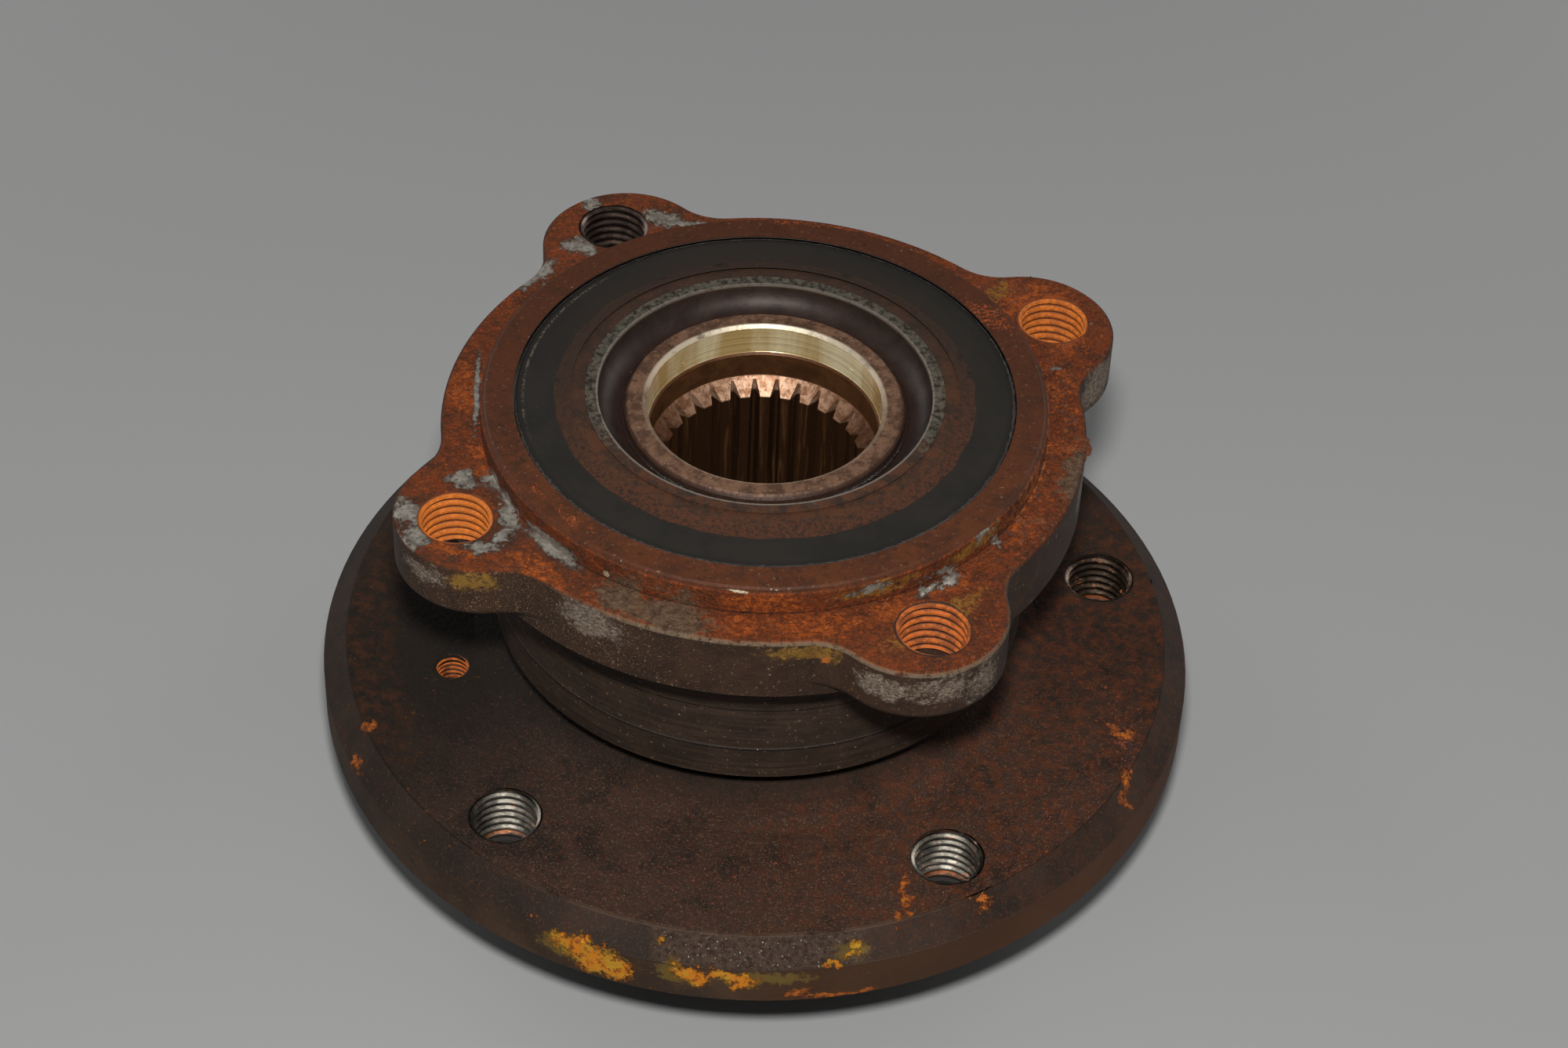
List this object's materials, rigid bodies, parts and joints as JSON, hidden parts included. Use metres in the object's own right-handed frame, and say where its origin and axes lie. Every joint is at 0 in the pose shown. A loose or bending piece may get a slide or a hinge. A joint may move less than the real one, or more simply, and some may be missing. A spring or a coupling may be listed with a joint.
{
  "type": "wheel hub bearing",
  "caption": "Driven wheel hub bearing unit: splined hub with a drilled wheel flange, turning on two rows of caged balls inside a bolt-on outer ring with threaded ears.",
  "frame": {"origin": "centre of the wheel register's end face, on which the unit stands", "axes": "+Z along the turning axis, pointing inboard to the drive shaft; the wheel side faces -Z; -Y faces the viewer of the reference view"},
  "size_m": [0.1452, 0.1452, 0.0838],
  "materials": {
    "hub_steel": "forged and turned steel, rusted dark brown with worn grey edges",
    "ring_steel": "turned steel, dark brown body, orange rust on the flange and its threads",
    "inner_ring_steel": "ground steel, brown film with a bright worn clamping band",
    "ball_steel": "polished bearing steel",
    "cage_polymer": "moulded glass-filled polyamide",
    "seal_steel": "pressed sheet steel",
    "seal_rubber": "moulded nitrile rubber",
    "encoder_rubber": "magnetised ferrite rubber, satin near-black"
  },
  "bodies": {
    "ring_side": {"outer_ring": "ring_steel", "inboard_seal_case": "seal_steel", "inboard_seal_lips": "seal_rubber", "outboard_seal_case": "seal_steel", "outboard_seal_lips": "seal_rubber"},
    "hub_side": {"wheel_hub": "hub_steel", "inner_ring": "inner_ring_steel", "inboard_slinger": "seal_steel", "magnetic_encoder": "encoder_rubber"},
    "outboard_ball_set": {"cage_outboard": "cage_polymer", "ball_outboard_01": "ball_steel", "ball_outboard_02": "ball_steel", "ball_outboard_03": "ball_steel", "ball_outboard_04": "ball_steel", "ball_outboard_05": "ball_steel", "ball_outboard_06": "ball_steel", "ball_outboard_07": "ball_steel", "ball_outboard_08": "ball_steel", "ball_outboard_09": "ball_steel", "ball_outboard_10": "ball_steel", "ball_outboard_11": "ball_steel", "ball_outboard_12": "ball_steel", "ball_outboard_13": "ball_steel", "ball_outboard_14": "ball_steel"},
    "inboard_ball_set": {"cage_inboard": "cage_polymer", "ball_inboard_01": "ball_steel", "ball_inboard_02": "ball_steel", "ball_inboard_03": "ball_steel", "ball_inboard_04": "ball_steel", "ball_inboard_05": "ball_steel", "ball_inboard_06": "ball_steel", "ball_inboard_07": "ball_steel", "ball_inboard_08": "ball_steel", "ball_inboard_09": "ball_steel", "ball_inboard_10": "ball_steel", "ball_inboard_11": "ball_steel", "ball_inboard_12": "ball_steel", "ball_inboard_13": "ball_steel", "ball_inboard_14": "ball_steel"}
  },
  "joints": [
    {"name": "hub_spin", "type": "hinge", "parent": "ring_side", "child": "hub_side", "pos_m": [0, 0, 0.0613], "axis": [0, 0, 1], "continuous": true},
    {"name": "outboard_cage_orbit", "type": "hinge", "parent": "ring_side", "child": "outboard_ball_set", "pos_m": [0, 0, 0.0518], "axis": [0, 0, 1], "continuous": true},
    {"name": "inboard_cage_orbit", "type": "hinge", "parent": "ring_side", "child": "inboard_ball_set", "pos_m": [0, 0, 0.0708], "axis": [0, 0, 1], "continuous": true}
  ],
  "couplings": [
    {"joint": "outboard_cage_orbit", "follows": "hub_spin", "ratio": 0.4231},
    {"joint": "inboard_cage_orbit", "follows": "hub_spin", "ratio": 0.4231}
  ]
}
